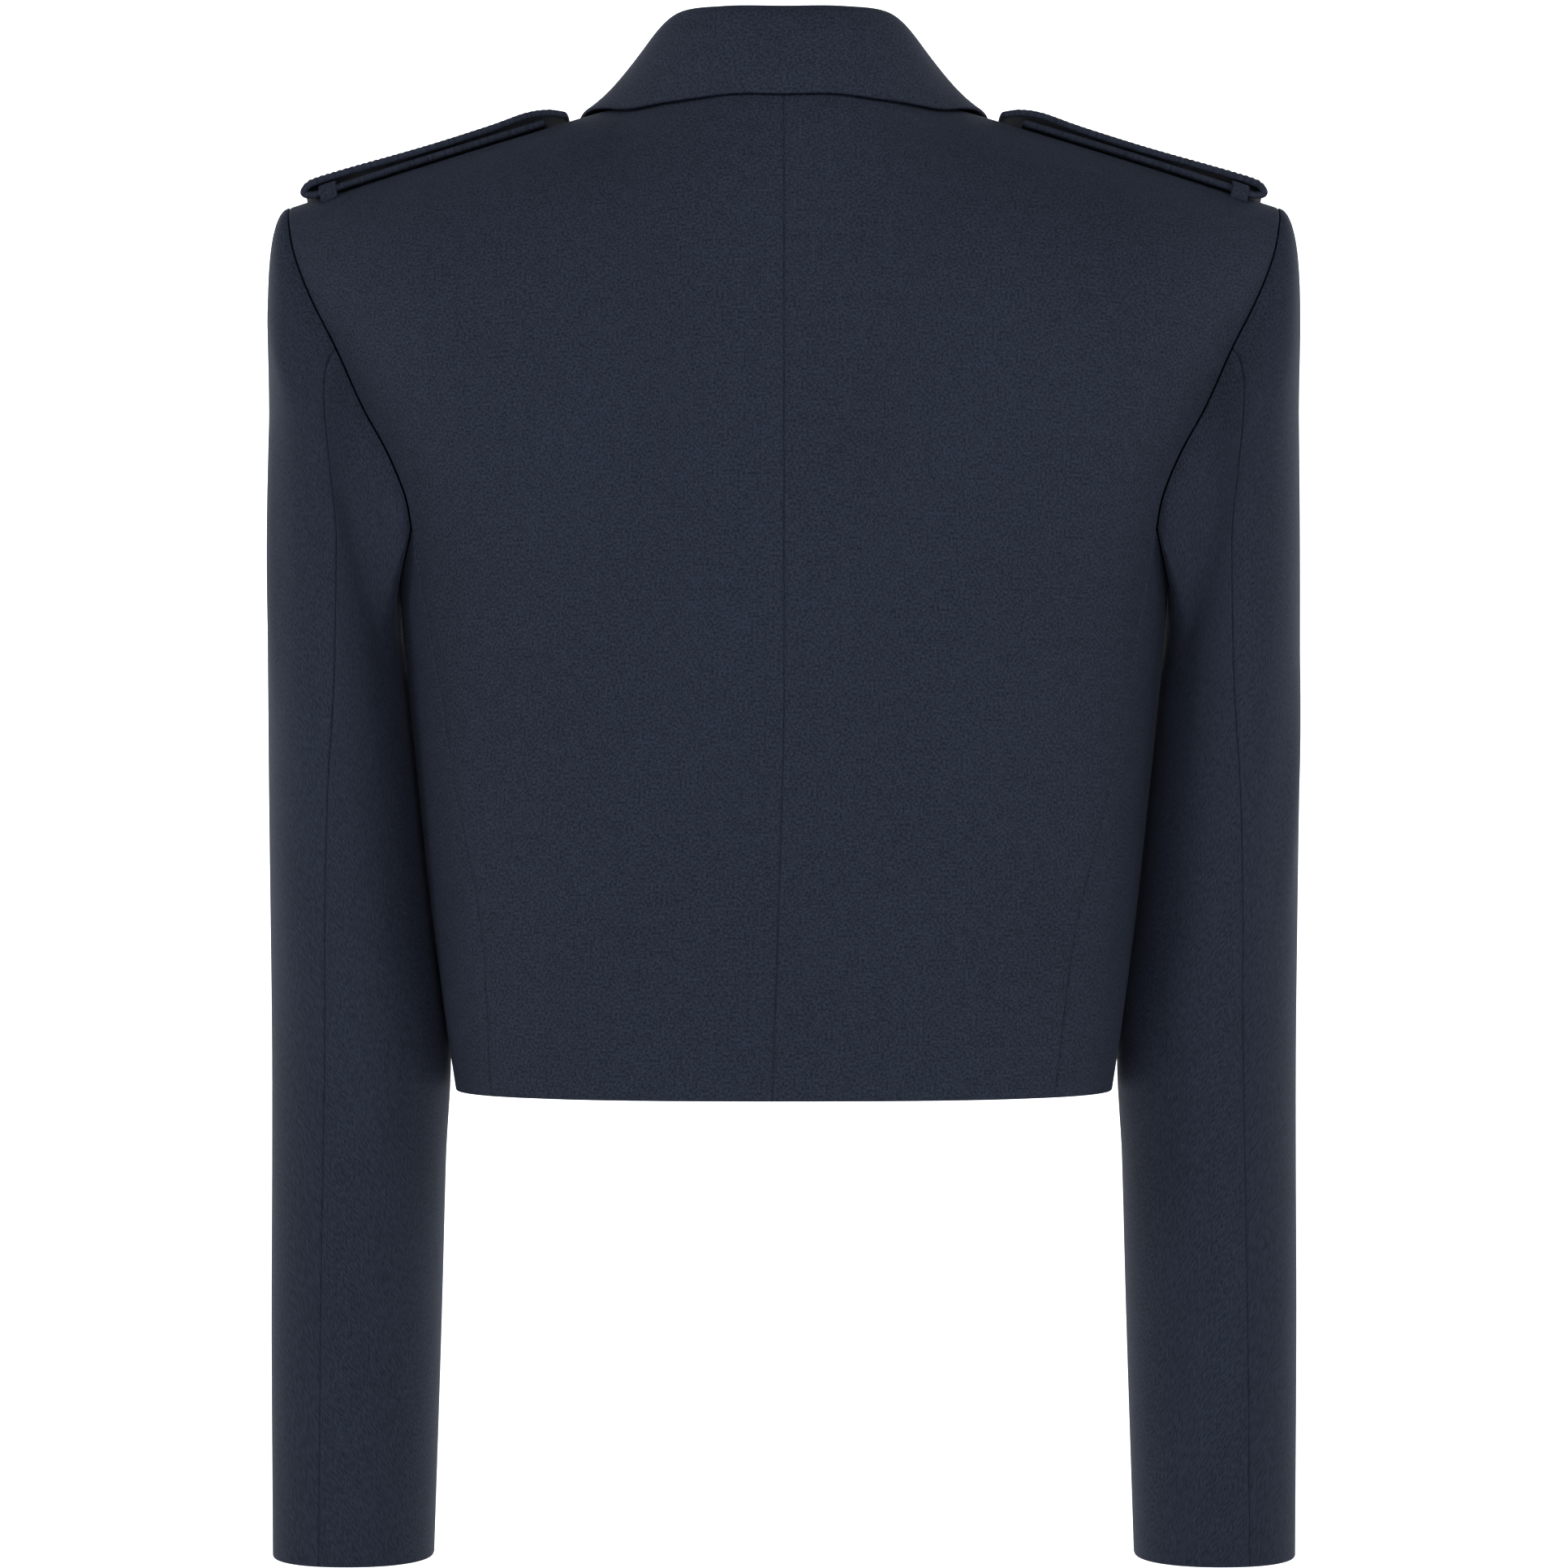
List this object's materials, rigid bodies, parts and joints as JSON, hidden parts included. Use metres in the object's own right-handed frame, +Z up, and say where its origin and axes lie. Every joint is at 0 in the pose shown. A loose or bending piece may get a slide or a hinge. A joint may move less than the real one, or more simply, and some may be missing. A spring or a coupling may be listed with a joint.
{
  "type": "jacket",
  "caption": "Cropped, dark navy tailored jacket in its worn, hollow form, with a turned-down collar, notched lapels and folded shoulder straps",
  "frame": {"origin": "midway between the shoulders, level with the neck end of the visible shoulder line, where the wearer holds it up", "axes": "+Z up, the wearer faces -Y, +X to the wearer's left"},
  "size_m": [0.4666, 0.2415, 0.6923],
  "materials": {
    "suiting": "fine matt worsted",
    "button": "satin"
  },
  "bodies": {
    "root": {"back_left": "suiting", "back_right": "suiting", "collar_fall": "suiting", "collar_stand": "suiting", "epaulette_left": "suiting", "epaulette_loop_left": "suiting", "epaulette_loop_right": "suiting", "epaulette_right": "suiting", "front_button_1": "button", "front_button_2": "button", "front_left": "suiting", "front_right": "suiting", "lapel_left": "suiting", "lapel_right": "suiting", "side_left": "suiting", "side_right": "suiting", "under_sleeve_left": "suiting", "under_sleeve_right": "suiting", "upper_sleeve_left": "suiting", "upper_sleeve_right": "suiting"}
  },
  "joints": []
}
